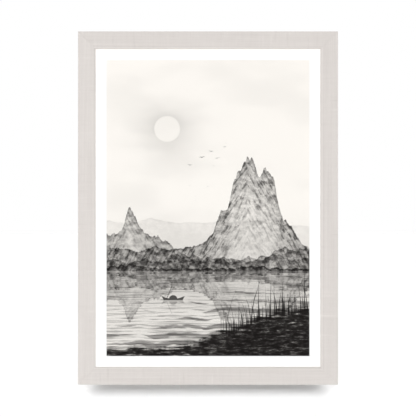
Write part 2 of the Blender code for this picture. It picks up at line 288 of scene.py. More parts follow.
def lime_lightness(tree, grain, across):
    """How pale the lime is, about 0.5 on average."""
    lightness = add(tree, "Attribute", attribute_name="tone").outputs["Fac"]
    for cell, strength in LIMED_PATTERNS:
        noise = grain_noise(tree, grain, cell)
        noise = add(tree, "Math", (noise, 0.5), operation="SUBTRACT")
        lightness = add(tree, "Math", (noise, strength, lightness), operation="MULTIPLY_ADD")
    # The cube of noise is nearly flat, and strays far from the middle only here and there.
    marks = add(tree, "Math", (grain_noise(tree, grain, CLOTH_MARKS, 1), 0.5), operation="SUBTRACT")
    marks = add(tree, "Math", (marks, 3), operation="POWER")
    lightness = add(tree, "Math", (marks, MARK_STRENGTH, lightness), operation="MULTIPLY_ADD")
    near_sight = add(tree, "MapRange", (across, FACE - STREAK_REACH, FACE, 0, STREAK_STRENGTH))
    streaks = add(tree, "Math", (grain_noise(tree, grain, SIGHT_STREAKS), 0.5), operation="SUBTRACT")
    return add(tree, "Math", (streaks, near_sight, lightness), operation="MULTIPLY_ADD")


def where_bare(tree, depth, across, overlap):
    """1 on the rear face beyond the overlap, and in the rebate."""
    rear = add(tree, "Math", (depth, BACK_Y - ARRIS / 2), operation="GREATER_THAN")
    past_overlap = add(tree, "Math", (across, overlap), operation="GREATER_THAN")
    bare_rear = add(tree, "Math", (rear, past_overlap), operation="MULTIPLY")
    behind_lip = add(tree, "Math", (depth, SHELF_Y - ARRIS / 2), operation="GREATER_THAN")
    inner = add(tree, "Math", (across, FACE - LIP_WIDTH - ARRIS / 2), operation="GREATER_THAN")
    rebate = add(tree, "Math", (behind_lip, inner), operation="MULTIPLY")
    return add(tree, "Math", (bare_rear, rebate), operation="MAXIMUM")


def limed_ash():
    """The rails' finish: lime on the face and sides, bare ash behind."""
    material, tree = new_material("limed_ash")
    grain = add(tree, "Attribute", attribute_name="grain").outputs["Vector"]
    place = add(tree, "SeparateXYZ", (grain,))
    depth, across = place.outputs["Y"], place.outputs["Z"]

    lightness = lime_lightness(tree, grain, across)
    limed = add(tree, "Mix", (lightness, linear(LIME_SHADE), linear(LIME_PALE)), data_type="RGBA")

    growth = grain_noise(tree, grain, GROWTH, 4)
    growth = add(tree, "MapRange", (growth, 0.3, 0.7))
    wood = add(tree, "Mix", (growth, linear(BARE_ASH), linear(BARE_ASH_DARK)), data_type="RGBA")
    pores = grain_noise(tree, grain, PORES)
    open_pores = add(tree, "MapRange", (pores, 0.55, 0.7, 0, 0.6))
    wood = add(tree, "Mix", (open_pores, wood, linear(OPEN_PORE)), data_type="RGBA")

    ragged = grain_noise(tree, grain, RAGGED, 4)
    overlap = add(tree, "Math", (ragged, 2 * OVERLAP), operation="MULTIPLY")
    bare = where_bare(tree, depth, across, overlap)
    colour = add(tree, "Mix", (bare, limed, wood), data_type="RGBA")

    roughness = add(tree, "MapRange", (pores, 0.3, 0.7, 0.68, 0.52))
    relief = add(tree, "Bump", {"Strength": 0.35, "Distance": 0.15 * MM, "Height": pores})
    shader = add(
        tree,
        "BsdfPrincipled",
        {"Base Color": colour, "Roughness": roughness, "Normal": relief, "IOR": 1.48},
    )
    add(tree, "OutputMaterial", (shader,))
    return material


LIMED_ASH = limed_ash()
print("limed ash:", len(LIMED_ASH.node_tree.nodes), "nodes")

# %% [markdown]
# ## Four rails
#
# The bottom rail is cut as it lies, and the other three are quarter turns of the same thing about the
# frame's centre. Each takes its own stretch of the moulding, so no two rails show the same streaks, and each
# has a tone of its own, which makes the left and bottom rails a little lighter than the top and right ones.

# %% Cut and place the rails
STRETCH = 0.6  # metres of moulding from the start of one rail to the start of the next
# Each rail's length, how far its outer edge lies from the centre, and its tone: lighter on the left and
# bottom.
RAILS = (
    ("bottom", OUTER_WIDTH, OUTER_HEIGHT / 2, 0.53),
    ("left", OUTER_HEIGHT, OUTER_WIDTH / 2, 0.56),
    ("top", OUTER_WIDTH, OUTER_HEIGHT / 2, 0.46),
    ("right", OUTER_HEIGHT, OUTER_WIDTH / 2, 0.47),
)

for quarter, (side, length, drop, tone) in enumerate(RAILS):
    bm = moulding_blank(length, drop)
    for end in (1, -1):
        saw_mitre(bm, end, length, drop)
    grain_layer = bm.verts.layers.float_vector.new("grain")
    tone_layer = bm.verts.layers.float.new("tone")
    for vertex in bm.verts:
        vertex[grain_layer] = vertex.co + Vector((quarter * STRETCH, 0, drop))
        vertex[tone_layer] = tone
    bm.transform(Matrix.Translation(CENTRE) @ Matrix.Rotation(quarter * math.pi / 2, 4, "Y"))
    finish_piece("moulding_" + side, bm, LIMED_ASH, "limed_wood", "rail_" + side)

# %% [markdown]
# ## Glass
#
# Picture glass is float glass 2 mm thick, clear, polished and flat, so it shows only as a faint reflection.
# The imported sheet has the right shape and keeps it, and only its material changes. The Principled shader
# makes glass with full transmission. Its shadows would be dark, because light that is bent by the glass
# hardly ever finds a lamp, so for shadow rays a transparent shader takes its place. Light that the print
# scatters passes the glass unseen, or the lamps would be counted twice.

# %% Float glass
def float_glass():
    """Clear glass that lets the light through to the print."""
    material, tree = new_material("float_glass")
    glass = add(
        tree,
        "BsdfPrincipled",
        {"Base Color": (1, 1, 1, 1), "Roughness": 0, "IOR": 1.52, "Transmission Weight": 1},
    )
    shadow_ray = add(tree, "LightPath").outputs["Is Shadow Ray"]
    clear = add(tree, "BsdfTransparent")
    add(tree, "OutputMaterial", (add(tree, "MixShader", (shadow_ray, glass, clear)),))
    return material


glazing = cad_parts["glazing"]
glazing.data.materials[0] = float_glass()
glazing.visible_diffuse = False
print("glass", round((GLASS_HIGH.y - GLASS_LOW.y) / MM, 2), "mm thick")

# %% [markdown]
# ## A picture in ink wash
#
# The print shows a landscape in ink wash: hills in mist, a lake, a boat, reeds and a few birds. An image file
# would be the usual way. Here the picture is drawn with nodes, so it needs no file and stays sharp however
# close the camera comes.
#
# Diluted ink is a film that absorbs light, and washes laid over each other absorb more. So every motif is a
# density of ink, the densities are added up, and the paper shines through as e to the power of minus their
# sum. All sizes in the picture are millimetres: x from its middle, z up from its foot.
#
# A blot of noise is the texture of the paper and the brush. Its width and height are given in millimetres
# too, which makes broad flat strokes as easy as round stains.

# %% The tools of the brush
PICTURE_WIDTH = 268  # in millimetres, as is everything in the picture
PICTURE_HEIGHT = 391
SOFT_STEP = {"interpolation_type": "SMOOTHSTEP"}


def blots(tree, x, z, width, height, detail=5, roughness=0.55):
    """Noise with blots of that width and height."""
    spot = add(tree, "CombineXYZ", (x, z))
    scaled = add(tree, "VectorMath", (spot, (1 / width, 1 / height, 0)), operation="MULTIPLY")
    return add(tree, "TexNoise", (scaled, 1, detail, roughness), noise_dimensions="2D")


def distance_1d(tree, value, place):
    """How far a value is from a place, whichever the side."""
    away = add(tree, "Math", (value, place), operation="SUBTRACT")
    return add(tree, "Math", (away,), operation="ABSOLUTE")


def thinning(tree, depth, reach):
    """Ink that thins out with depth, to 1 / e of itself after each reach."""
    scaled = add(tree, "Math", (depth, -1 / reach), operation="MULTIPLY")
    return add(tree, "Math", (scaled,), operation="EXPONENT")


def washes(tree, layers):
    """Washes laid over one another."""
    density = layers[0]
    for layer in layers[1:]:
        density = add(tree, "Math", (density, layer), operation="ADD")
    return density


# %% [markdown]
# ## Hills
#
# A hill in ink wash is dark along its crest and fades into mist towards its foot. Its outline is a line of
# 1-D noise, raised by a pointed hump where there is a summit. Below the outline the ink thins with depth, a
# wet rim gathers at the very edge, and the granules of the pigment settle unevenly. Strokes run down both
# sides of a summit. Five rows of hills stand one before the other, the nearest the lowest and darkest.

# %% Draw a row of hills
HILLS = (  # a summit is its place, height and half width
    dict(crest=66, rise=15, run=74, fade=30, ink=0.11),
    dict(crest=30, rise=13, run=34, fade=62, ink=1.25, summits=((52, 116, 74), (88, 44, 50)), strokes=1),
    dict(crest=18, rise=11, run=26, fade=38, ink=1, summits=((-108, 62, 66), (-56, 18, 40)), strokes=0.7),
    dict(crest=14, rise=8, run=20, fade=13, ink=1.1, summits=((112, 22, 60),)),
    dict(crest=3.6, rise=3.2, run=9, fade=7, ink=1.9, summits=((-104, 6, 50), (60, 4, 44))),
)
EDGE = 0.9  # how soft the brush's edge is
RIM = 2.4  # how far the wet rim reaches in
STROKE_SLOPE = math.radians(60)
OTHER_FLANK = 77  # shifts the strokes of one flank, so that the two don't mirror each other


def summit_shape(tree, x, place, half_width):
    """A pointed hump, 1 at its place and 0 from half_width on."""
    slope = add(tree, "MapRange", (distance_1d(tree, x, place), half_width, 0))
    return add(tree, "Math", (slope, 1.5), operation="POWER")


def flank_strokes(tree, x, above, place):
    """Strokes of a brush that run down and away from a summit."""
    beyond = add(tree, "Math", (x, place), operation="GREATER_THAN")
    away = add(tree, "Math", (beyond, OTHER_FLANK, distance_1d(tree, x, place)), operation="MULTIPLY_ADD")
    sine, cosine = math.sin(STROKE_SLOPE), math.cos(STROKE_SLOPE)
    across = add(tree, "Math", (away, sine), operation="MULTIPLY")
    across = add(tree, "Math", (above, cosine, across), operation="MULTIPLY_ADD")
    along = add(tree, "Math", (away, cosine), operation="MULTIPLY")
    along = add(tree, "Math", (above, -sine, along), operation="MULTIPLY_ADD")
    strokes = blots(tree, across, along, 3.4, 19, roughness=0.6)
    return add(tree, "MapRange", (strokes, 0.47, 0.62), **SOFT_STEP)


def hills_row(tree, x, above, granules, seed, crest, rise, run, fade, ink, summits=(), strokes=0):
    """A row of hills whose outline is about crest above the water, and swells by rise over each run."""
    outline = add(tree, "Math", (x, 1 / run, seed), operation="MULTIPLY_ADD")
    outline = add(tree, "TexNoise", (outline, 1, 7, 0.52), noise_dimensions="1D")
    height = add(tree, "Math", (outline, 2 * rise, crest - rise), operation="MULTIPLY_ADD")
    rugged = add(tree, "Math", (outline, 0.9, 0.55), operation="MULTIPLY_ADD")
    for place, peak, half_width in summits:
        hump = add(tree, "Math", (summit_shape(tree, x, place, half_width), rugged), operation="MULTIPLY")
        height = add(tree, "Math", (hump, peak, height), operation="MULTIPLY_ADD")

    depth = add(tree, "Math", (height, above), operation="SUBTRACT")
    inside = add(tree, "MapRange", (depth, 0, EDGE), **SOFT_STEP)
    depth = add(tree, "Math", (depth, 0), operation="MAXIMUM")
    rim = add(tree, "Math", (thinning(tree, depth, RIM), outline), operation="MULTIPLY")
    density = add(tree, "Math", (rim, 1.1, thinning(tree, depth, fade)), operation="MULTIPLY_ADD")
    density = add(tree, "Math", (density, granules), operation="MULTIPLY")
    if strokes:
        drawn = flank_strokes(tree, x, above, summits[0][0])
        drawn = add(tree, "Math", (drawn, strokes, 1 - 0.35 * strokes), operation="MULTIPLY_ADD")
        density = add(tree, "Math", (density, drawn), operation="MULTIPLY")
    density = add(tree, "Math", (density, inside), operation="MULTIPLY")
    return add(tree, "Math", (density, ink), operation="MULTIPLY")


# %% [markdown]
# ## The far side of the lake
#
# The water mirrors the hills. Instead of drawing them twice, the height above the water is folded at the
# waterline: below it, the height is the distance down, stretched a little and shaken sideways by ripples.
# The mirrored hills are then half as dark.
#
# Mist is a soft band low over the water. The sky is almost bare paper, with a faint cloud. The moon is bare
# paper too: only the wash around it makes it show.

# %% Fold the picture at the water, and draw hills, mist, sky and moon
WATERLINE = 112
ROW_SEED = 31.7  # sets the noise of each row of hills apart
MIST_HEIGHT = 24  # where the mist is darkest, over the water
MIST_SPREAD = 34
MOON = (-54, 300, 0)
MOON_RADIUS = 17
HALO = 17  # how far out the wash round the moon thins


def fold_at_water(tree, x, z):
    """Returns the height over the waterline, mirrored below it, and 1 where there is water."""
    over = add(tree, "Math", (z, WATERLINE), operation="SUBTRACT")
    water = add(tree, "Math", (over, 0), operation="LESS_THAN")
    ripples = blots(tree, x, z, 34, 1.5, 3, 0.5)
    ripples = add(tree, "Math", (ripples, 12, -6), operation="MULTIPLY_ADD")
    ripples = add(tree, "Math", (ripples, water), operation="MULTIPLY")
    stretch = add(tree, "Math", (water, 0.25, 1), operation="MULTIPLY_ADD")
    above = add(tree, "Math", (over,), operation="ABSOLUTE")
    above = add(tree, "Math", (above, stretch, ripples), operation="MULTIPLY_ADD")
    return add(tree, "Math", (above, 0), operation="MAXIMUM"), water


def all_hills(tree, x, above, water):
    """Every row of hills and its reflection."""
    granules = blots(tree, x, above, 9, 7, 9, 0.72)
    granules = add(tree, "MapRange", (granules, 0.32, 0.68, 0.42, 1.57), **SOFT_STEP)
    rows = [hills_row(tree, x, above, granules, ROW_SEED * n, **row) for n, row in enumerate(HILLS, 1)]
    dimmed = add(tree, "Math", (water, -0.5, 1), operation="MULTIPLY_ADD")
    return add(tree, "Math", (washes(tree, rows), dimmed), operation="MULTIPLY")


def mist(tree, above):
    """A soft band of wash."""
    away = add(tree, "Math", (above, 1 / MIST_SPREAD, -MIST_HEIGHT / MIST_SPREAD), operation="MULTIPLY_ADD")
    squared = add(tree, "Math", (away, 2), operation="POWER")
    return add(tree, "Math", (thinning(tree, squared, 1), 0.16), operation="MULTIPLY")


def sky_and_moon(tree, x, z):
    """A faint cloud, and the wash that leaves the moon bare."""
    clouds = blots(tree, x, z, 150, 60, 5, 0.5)
    cloudy = add(tree, "MapRange", (clouds, 0.42, 0.72, 0, 0.07), **SOFT_STEP)
    spot = add(tree, "CombineXYZ", (x, z))
    from_rim = add(tree, "VectorMath", (spot, MOON), operation="DISTANCE")
    from_rim = add(tree, "Math", (from_rim, MOON_RADIUS), operation="SUBTRACT")
    outside = add(tree, "MapRange", (from_rim, -0.5, 0.5), **SOFT_STEP)
    halo = add(tree, "Math", (thinning(tree, from_rim, HALO), outside), operation="MULTIPLY")
    uneven = add(tree, "MapRange", (clouds, 0.3, 0.7, 0.03, 0.22))
    halo = add(tree, "Math", (halo, uneven), operation="MULTIPLY")
    return add(tree, "Math", (cloudy, halo), operation="ADD")


# %% [markdown]
# ## Water
#
# The lake is brushed in level strokes. The picture is cut into rows, each row is shifted in the noise, so
# that every stroke starts and ends somewhere else, and the hairs of a brush that runs dry break up the
# stroke's ends. Strokes get denser towards the viewer. Broad strokes lie under narrow ones.

# %% Draw the lake
ROW_SHIFT = 13.7  # how far each row of strokes is shifted in the noise


def level_strokes(tree, x, z, pitch, length, cover, ink, dryness, seed):
    """Rows of level brush strokes. cover says how much of a row the ink fills, from 0 to 1."""
    wander = add(tree, "Math", (blots(tree, x, z, 50, 400, 2), 1.4, seed), operation="MULTIPLY_ADD")
    row = add(tree, "Math", (z, 1 / pitch, wander), operation="MULTIPLY_ADD")
    number = add(tree, "Math", (row,), operation="FLOOR")
    from_middle = distance_1d(tree, add(tree, "Math", (row,), operation="FRACT"), 0.5)
    along = add(tree, "Math", (x, 1 / length), operation="MULTIPLY")
    shifted = add(tree, "Math", (number, ROW_SHIFT), operation="MULTIPLY")
    spot = add(tree, "CombineXYZ", (along, shifted))
    wet = add(tree, "TexNoise", (spot, 1, 2, 0.5), noise_dimensions="2D")
    wet = add(tree, "Math", (wet, cover), operation="ADD")
    wet = add(tree, "Math", (wet, from_middle), operation="SUBTRACT")
    hairs = blots(tree, x, z, 26, 0.55, 3, 0.6)
    wet = add(tree, "Math", (hairs, dryness, wet), operation="MULTIPLY_ADD")
    threshold = 1 + dryness / 2
    return add(tree, "MapRange", (wet, threshold - 0.04, threshold + 0.04, 0, ink), **SOFT_STEP)


def lake(tree, x, z, water):
    """A pale wash with glints, then broad strokes and narrow ones."""
    glints = blots(tree, x, z, 80, 2.2, 4, 0.6)
    pale = add(tree, "MapRange", (glints, 0.5, 0.72, 0.16, 0.76), **SOFT_STEP)
    cover = add(tree, "MapRange", (z, 100, 0, 0.3, 0.95))
    cover = add(tree, "Math", (x, 0.0015, cover), operation="MULTIPLY_ADD")
    broad = level_strokes(tree, x, z, 11, 60, cover, 0.95, 0.5, 3.3)
    cover = add(tree, "MapRange", (z, WATERLINE, 10, 0.3, 0.72))
    narrow = level_strokes(tree, x, z, 4.2, 38, cover, 0.55, 0.6, 8.1)
    return add(tree, "Math", (washes(tree, [pale, broad, narrow]), water), operation="MULTIPLY")


# %% [markdown]
# ## The near bank and its reeds
#
# The bank rises to the right. Its ink is nearly solid, with paler scrapes, and its upper edge is broken by a
# rough, dry brush.
#
# Reeds are drawn in rows too, but upright: x is cut into columns, and white noise gives each column one blade
# with its own place and height. To bend the blades, x is first shifted by more and more the higher it is over
# the bank. Seven sets with different bends cross one another.

# %% Draw the bank and the reeds
REED_LEANS = (-0.15, -0.25, -0.02, -0.22, -0.33, 0.02, 0.39)  # sideways for each unit up, at the tip
REED_INK = 1.9


def bank_line(tree, x):
    """The height of the bank's upper edge."""
    line = add(tree, "MapRange", (x, -70, 130, 13, 66), **SOFT_STEP)
    lumps = add(tree, "Math", (x, 1 / 26, 4.1), operation="MULTIPLY_ADD")
    lumps = add(tree, "TexNoise", (lumps, 1, 8, 0.6), noise_dimensions="1D")
    lumps = add(tree, "Math", (lumps, 20, -12), operation="MULTIPLY_ADD")
    return add(tree, "Math", (lumps, line), operation="ADD")


def near_bank(tree, x, z, line):
    """Dark, uneven ink under the bank's line."""
    rough = add(tree, "Math", (blots(tree, x, z, 30, 2.2, 6, 0.65), 26, -13), operation="MULTIPLY_ADD")
    under = add(tree, "Math", (line, z), operation="SUBTRACT")
    under = add(tree, "Math", (under, rough), operation="ADD")
    covered = add(tree, "MapRange", (under, -1, 5), **SOFT_STEP)
    ink = add(tree, "MapRange", (blots(tree, x, z, 12, 3, 8, 0.7), 0.33, 0.68, 0.4, 6))
    return add(tree, "Math", (covered, ink), operation="MULTIPLY")


def reeds(tree, x, z, line, pitch, height, lean, thickness, seed):
    """One set of blades that stand on a line, a blade every pitch."""
    up = add(tree, "Math", (z, line), operation="SUBTRACT")
    share = add(tree, "Math", (up, 1 / height), operation="MULTIPLY")
    share = add(tree, "Math", (share, 0), operation="MAXIMUM")
    bend = add(tree, "Math", (share, 1.8), operation="POWER")
    column = add(tree, "Math", (bend, -lean * height, x), operation="MULTIPLY_ADD")
    column = add(tree, "Math", (column, 1 / pitch, seed), operation="MULTIPLY_ADD")
    number = add(tree, "Math", (column,), operation="FLOOR")
    luck = add(tree, "TexWhiteNoise", (number,), noise_dimensions="1D").outputs["Color"]
    luck = add(tree, "SeparateXYZ", (luck,))
    place = add(tree, "Math", (luck.outputs["X"], 0.7, 0.15), operation="MULTIPLY_ADD")
    away = distance_1d(tree, add(tree, "Math", (column,), operation="FRACT"), place)
    away = add(tree, "Math", (away, pitch), operation="MULTIPLY")

    tall = add(tree, "Math", (luck.outputs["Y"], 0.75, 0.2), operation="MULTIPLY_ADD")
    grown = add(tree, "Math", (share, tall), operation="DIVIDE")
    taper = add(tree, "MapRange", (grown, 1, 0, 0, thickness))
    stroke = add(tree, "Math", (taper, away), operation="SUBTRACT")
    drawn = add(tree, "MapRange", (stroke, -0.12, 0.16, 0, REED_INK), **SOFT_STEP)
    tip = add(tree, "MapRange", (grown, 1, 0.97), **SOFT_STEP)
    root = add(tree, "MapRange", (up, -9, -2), **SOFT_STEP)
    drawn = add(tree, "Math", (drawn, tip), operation="MULTIPLY")
    return add(tree, "Math", (drawn, root), operation="MULTIPLY")


def reed_bed(tree, x, z, line):
    """Seven sets of reeds, the wider spaced the taller, fading out to the left."""
    sets = []
    for n, lean in enumerate(REED_LEANS):
        sets.append(reeds(tree, x, z, line, 5 + 3.2 * n, 26 + 9 * n, lean, 0.5 + 0.05 * n, 10.3 * n))
    growing = add(tree, "MapRange", (x, 6, 48), **SOFT_STEP)
    return add(tree, "Math", (washes(tree, sets), growing), operation="MULTIPLY")


# %% [markdown]
# ## Boat, birds and spatter
#
# Small motifs are formulas in x and z. The boat's hull lies between two curves that meet at its waterline, an
# ellipse is its hooped roof and a leaning line its pole. Using the distance from the waterline for z draws
# its reflection at the same time. A bird is two arcs, thick where they meet. The spatter of a shaken
# brush is round cells of Voronoi, of which few are large enough to show.

# %% Draw the small motifs
BOAT = (-46, 74)
BOAT_HALF = 15
BIRDS = (  # x, z, half the span, and how much it banks
    (-8, 262, 4.6, 0.1),
    (4, 270, 3.6, -0.12),
    (12, 261, 3, 0.2),
    (-24, 252, 3.3, -0.05),
    (22, 276, 2.6, 0.1),
)
SPATTER = (44, 214, 0)
SPATTER_CELL = 8


def boat(tree, x, z):
    """A boat with a hooped roof and a pole, and its paler reflection."""
    along = add(tree, "Math", (x, BOAT[0]), operation="SUBTRACT")
    share = add(tree, "Math", (along, 1 / BOAT_HALF), operation="MULTIPLY")
    out = add(tree, "Math", (share,), operation="ABSOLUTE")
    height = distance_1d(tree, z, BOAT[1])

    sheer = add(tree, "Math", (out, 2.2), operation="POWER")
    sheer = add(tree, "Math", (sheer, 0.24 * BOAT_HALF, 0.11 * BOAT_HALF), operation="MULTIPLY_ADD")
    below_sheer = add(tree, "Math", (sheer, height), operation="SUBTRACT")
    hull = add(tree, "MapRange", (below_sheer, -0.15, 0.15), **SOFT_STEP)
    stem = add(tree, "MapRange", (height, 0, 0.36 * BOAT_HALF, 0.84, 1.03))
    within = add(tree, "Math", (stem, out), operation="SUBTRACT")
    within = add(tree, "MapRange", (within, -0.01, 0.02), **SOFT_STEP)
    hull = add(tree, "Math", (hull, within), operation="MULTIPLY")

    spot = add(tree, "CombineXYZ", (share, height))
    spot = add(tree, "VectorMath", (spot, (2.6, 1 / (0.42 * BOAT_HALF), 0)), operation="MULTIPLY")
    from_middle = add(tree, "VectorMath", (spot,), operation="LENGTH")
    roof = add(tree, "MapRange", (from_middle, 1.04, 0.98), **SOFT_STEP)

    lean = add(tree, "Math", (height, 0.42, -0.62 * BOAT_HALF), operation="MULTIPLY_ADD")
    pole = add(tree, "MapRange", (distance_1d(tree, along, lean), 0.5, 0.2), **SOFT_STEP)
    pole_end = add(tree, "MapRange", (height, 1.25 * BOAT_HALF, 1.2 * BOAT_HALF), **SOFT_STEP)
    pole = add(tree, "Math", (pole, pole_end), operation="MULTIPLY")

    shape = add(tree, "Math", (hull, roof), operation="MAXIMUM")
    shape = add(tree, "Math", (shape, pole), operation="MAXIMUM")
    afloat = add(tree, "Math", (z, BOAT[1]), operation="GREATER_THAN")
    ink = add(tree, "Math", (afloat, 1.7, 0.5), operation="MULTIPLY_ADD")
    return add(tree, "Math", (shape, ink), operation="MULTIPLY")


def bird(tree, x, z, at_x, at_z, span, bank):
    """A bird on the wing: two arcs that meet at its body."""
    along = add(tree, "Math", (x, at_x), operation="SUBTRACT")
    up = add(tree, "Math", (z, at_z), operation="SUBTRACT")
    up = add(tree, "Math", (along, -bank, up), operation="MULTIPLY_ADD")
    out = add(tree, "Math", (distance_1d(tree, x, at_x), 1 / span), operation="MULTIPLY")
    arc = add(tree, "Math", (out, -0.95 * span, 0.95 * span), operation="MULTIPLY_ADD")
    arc = add(tree, "Math", (arc, out), operation="MULTIPLY")
    thickness = add(tree, "MapRange", (out, 1, 0, 0, 0.13 * span))
    stroke = add(tree, "Math", (thickness, distance_1d(tree, up, arc)), operation="SUBTRACT")
    drawn = add(tree, "MapRange", (stroke, -0.1, 0.15, 0, 1.6), **SOFT_STEP)
    within = add(tree, "MapRange", (out, 1, 0.9), **SOFT_STEP)
    return add(tree, "Math", (drawn, within), operation="MULTIPLY")


def spatter(tree, x, z):
    """Drops from a shaken brush, round one place."""
    spot = add(tree, "CombineXYZ", (x, z))
    cells = add(tree, "VectorMath", (spot, [1 / SPATTER_CELL] * 3), operation="MULTIPLY")
    drops = add(tree, "TexVoronoi", (cells, 1), voronoi_dimensions="2D")
    luck = add(tree, "SeparateXYZ", (drops.outputs["Color"],)).outputs["X"]
    radius = add(tree, "Math", (luck, 7), operation="POWER")
    inside = add(tree, "Math", (radius, 0.1), operation="MULTIPLY")
    inside = add(tree, "Math", (inside, drops.outputs["Distance"]), operation="SUBTRACT")
    drawn = add(tree, "MapRange", (inside, -0.01, 0.012, 0, 1.3), **SOFT_STEP)
    near = add(tree, "VectorMath", (spot, SPATTER), operation="DISTANCE")
    near = add(tree, "MapRange", (near, 92, 20), **SOFT_STEP)
    return add(tree, "Math", (drawn, near), operation="MULTIPLY")


def ink_wash(tree, x, z):
    """The density of ink all over the picture."""
    above, water = fold_at_water(tree, x, z)
    line = bank_line(tree, x)
    layers = [
        all_hills(tree, x, above, water),
        mist(tree, above),
        sky_and_moon(tree, x, z),
        lake(tree, x, z, water),
        near_bank(tree, x, z, line),
        reed_bed(tree, x, z, line),
        spatter(tree, x, z),
        boat(tree, x, z),
    ]
    layers += [bird(tree, x, z, *place) for place in BIRDS]
    return washes(tree, layers)


# %% [markdown]
# ## The print
#
# The picture is printed with pigment ink on bright white cotton paper, which stays matt: the paper's tooth
# scatters the light. The print covers the middle of the sheet and leaves a white margin. It has a tone of
# its own, the warm white of the washed paper, so its edge shows even where there is hardly any ink.
#
# The sheet is a grid with one face, extruded to its thickness. Its own UV map gives nearly the whole square
# to the front, so that a picture baked from it stays sharp, and a narrow strip to the back and the edges.

# %% Cotton paper
PAPER = "#FFFFFF"
WASHED_PAPER = "#FDF9F3"
INK = "#0F0B0A"
PAPER_TOOTH = 2 / 3  # millimetres from one grain of the paper to the next
PICTURE_FOOT = CENTRE.z - PICTURE_HEIGHT / 2 * MM


def printed_paper():
    """Matt paper with the picture in its middle."""
    material, tree = new_material("pigment_print_on_cotton_paper")
    place = add(tree, "TexCoord").outputs["Object"]
    millimetres = [1 / MM] * 3
    place = add(tree, "Mapping", (place, (0, 0, -PICTURE_FOOT / MM), (0, 0, 0), millimetres))
    xyz = add(tree, "SeparateXYZ", (place,))
    x, z = xyz.outputs["X"], xyz.outputs["Z"]

    shining = thinning(tree, ink_wash(tree, x, z), 1)
    picture = add(tree, "Mix", (shining, linear(INK), linear(WASHED_PAPER)), data_type="RGBA")
    outside_x = add(tree, "Math", (distance_1d(tree, x, 0), PICTURE_WIDTH / 2), operation="GREATER_THAN")
    from_middle = distance_1d(tree, z, PICTURE_HEIGHT / 2)
    outside_z = add(tree, "Math", (from_middle, PICTURE_HEIGHT / 2), operation="GREATER_THAN")
    margin = add(tree, "Math", (outside_x, outside_z), operation="MAXIMUM")
    colour = add(tree, "Mix", (margin, picture, linear(PAPER)), data_type="RGBA")

    tooth = add(tree, "TexNoise", (place, 1 / PAPER_TOOTH, 3, 0.6))
    relief = add(tree, "Bump", {"Strength": 0.25, "Distance": 0.05 * MM, "Height": tooth})
    roughness = add(tree, "MapRange", (tooth, 0.3, 0.7, 0.78, 0.9))
    shader = add(
        tree,
        "BsdfPrincipled",
        {"Base Color": colour, "Roughness": roughness, "Normal": relief, "Specular IOR Level": 0.2},
    )
    add(tree, "OutputMaterial", (shader,))
    return material


PRINTED_PAPER = printed_paper()
print("print:", len(PRINTED_PAPER.node_tree.nodes), "nodes")

# %% The sheet
PAPER_LOW, PAPER_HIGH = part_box("art_print")
FRONT_SHARE = 0.96  # of the UV square's height


def map_paper(bm):
    """Gives the front most of the UV square, and each other face a cell of the strip under it."""
    layer = bm.loops.layers.uv.new("OFBake")
    size = PAPER_HIGH - PAPER_LOW
    strip = 1 - FRONT_SHARE
    front, *others = sorted(bm.faces, key=lambda face: face.normal.y)
    for face in bm.faces:
        in_plane = [n for n in range(3) if abs(face.normal[n]) < 0.5]
        for corner in face.loops:
            place = corner.vert.co - PAPER_LOW
            across, up = [place[n] / size[n] for n in in_plane]
            if face is front:
                corner[layer].uv = (across, strip + FRONT_SHARE * up)
            else:
                corner[layer].uv = ((others.index(face) + across) / len(others), strip * up)


def paper_sheet():
    """The sheet of paper, flat under the glass."""
    size = PAPER_HIGH - PAPER_LOW
    middle = (PAPER_LOW + PAPER_HIGH) / 2
    bm = bmesh.new()
    bmesh.ops.create_grid(bm, x_segments=1, y_segments=1, size=0.5)
    bm.transform(Matrix.Rotation(math.pi / 2, 4, "X"))
    bm.transform(Matrix.Diagonal((size.x, 1, size.z, 1)))
    bm.transform(Matrix.Translation((middle.x, PAPER_LOW.y, middle.z)))
    draw_out(bm, bm.faces[:], (0, size.y, 0))
    bmesh.ops.recalc_face_normals(bm, faces=bm.faces[:])
    map_paper(bm)
    return bm


finish_piece("print_sheet", paper_sheet(), PRINTED_PAPER, "cotton_paper", "art_print")

# %% [markdown]
# ## The backing board
#
# A sheet of fibreboard presses the print against the glass. It is wood fibre and resin, pressed hot and
# sanded, so it is an even, matt brown with darker fibres lying every way. A fibre is about 2 mm long and
# 0.2 mm thick. Three layers of stretched noise, each turned another way, give the fibres, drawn twice as
# thick as they are so that they show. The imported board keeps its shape.

# %% Fibreboard
BOARD = "#B7936A"
BOARD_PALE = "#C2A078"
FIBRE = "#8A6740"
FIBRE_CELL = (2.4, 1, 0.4)  # millimetres along, into and across a fibre
FIBRE_TURNS = (10, 70, 130)  # degrees


def fibreboard():
    """Pressed wood fibre, sanded smooth."""
    material, tree = new_material("fibreboard")
    place = add(tree, "TexCoord").outputs["Object"]
    cloudy = add(tree, "TexNoise", (place, 1 / (18 * MM), 4, 0.6))
    cloudy = add(tree, "MapRange", (cloudy, 0.3, 0.7))
    colour = add(tree, "Mix", (cloudy, linear(BOARD), linear(BOARD_PALE)), data_type="RGBA")
    height = 0
    for turn in FIBRE_TURNS:
        turned = add(tree, "Mapping", (place, (0, 0, 0), (0, math.radians(turn), 0)))
        fibres = grain_noise(tree, turned, FIBRE_CELL, 2, 0.5)
        shown = add(tree, "MapRange", (fibres, 0.58, 0.7, 0, 0.55))
        colour = add(tree, "Mix", (shown, colour, linear(FIBRE)), data_type="RGBA")
        height = add(tree, "Math", (fibres, height), operation="ADD")
    relief = add(tree, "Bump", {"Strength": 0.3, "Distance": 0.1 * MM, "Height": height})
    roughness = add(tree, "MapRange", (cloudy, 0, 1, 0.66, 0.8))
    shader = add(tree, "BsdfPrincipled", {"Base Color": colour, "Roughness": roughness, "Normal": relief})
    add(tree, "OutputMaterial", (shader,))
    return material


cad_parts["backing_board"].data.materials[0] = fibreboard()

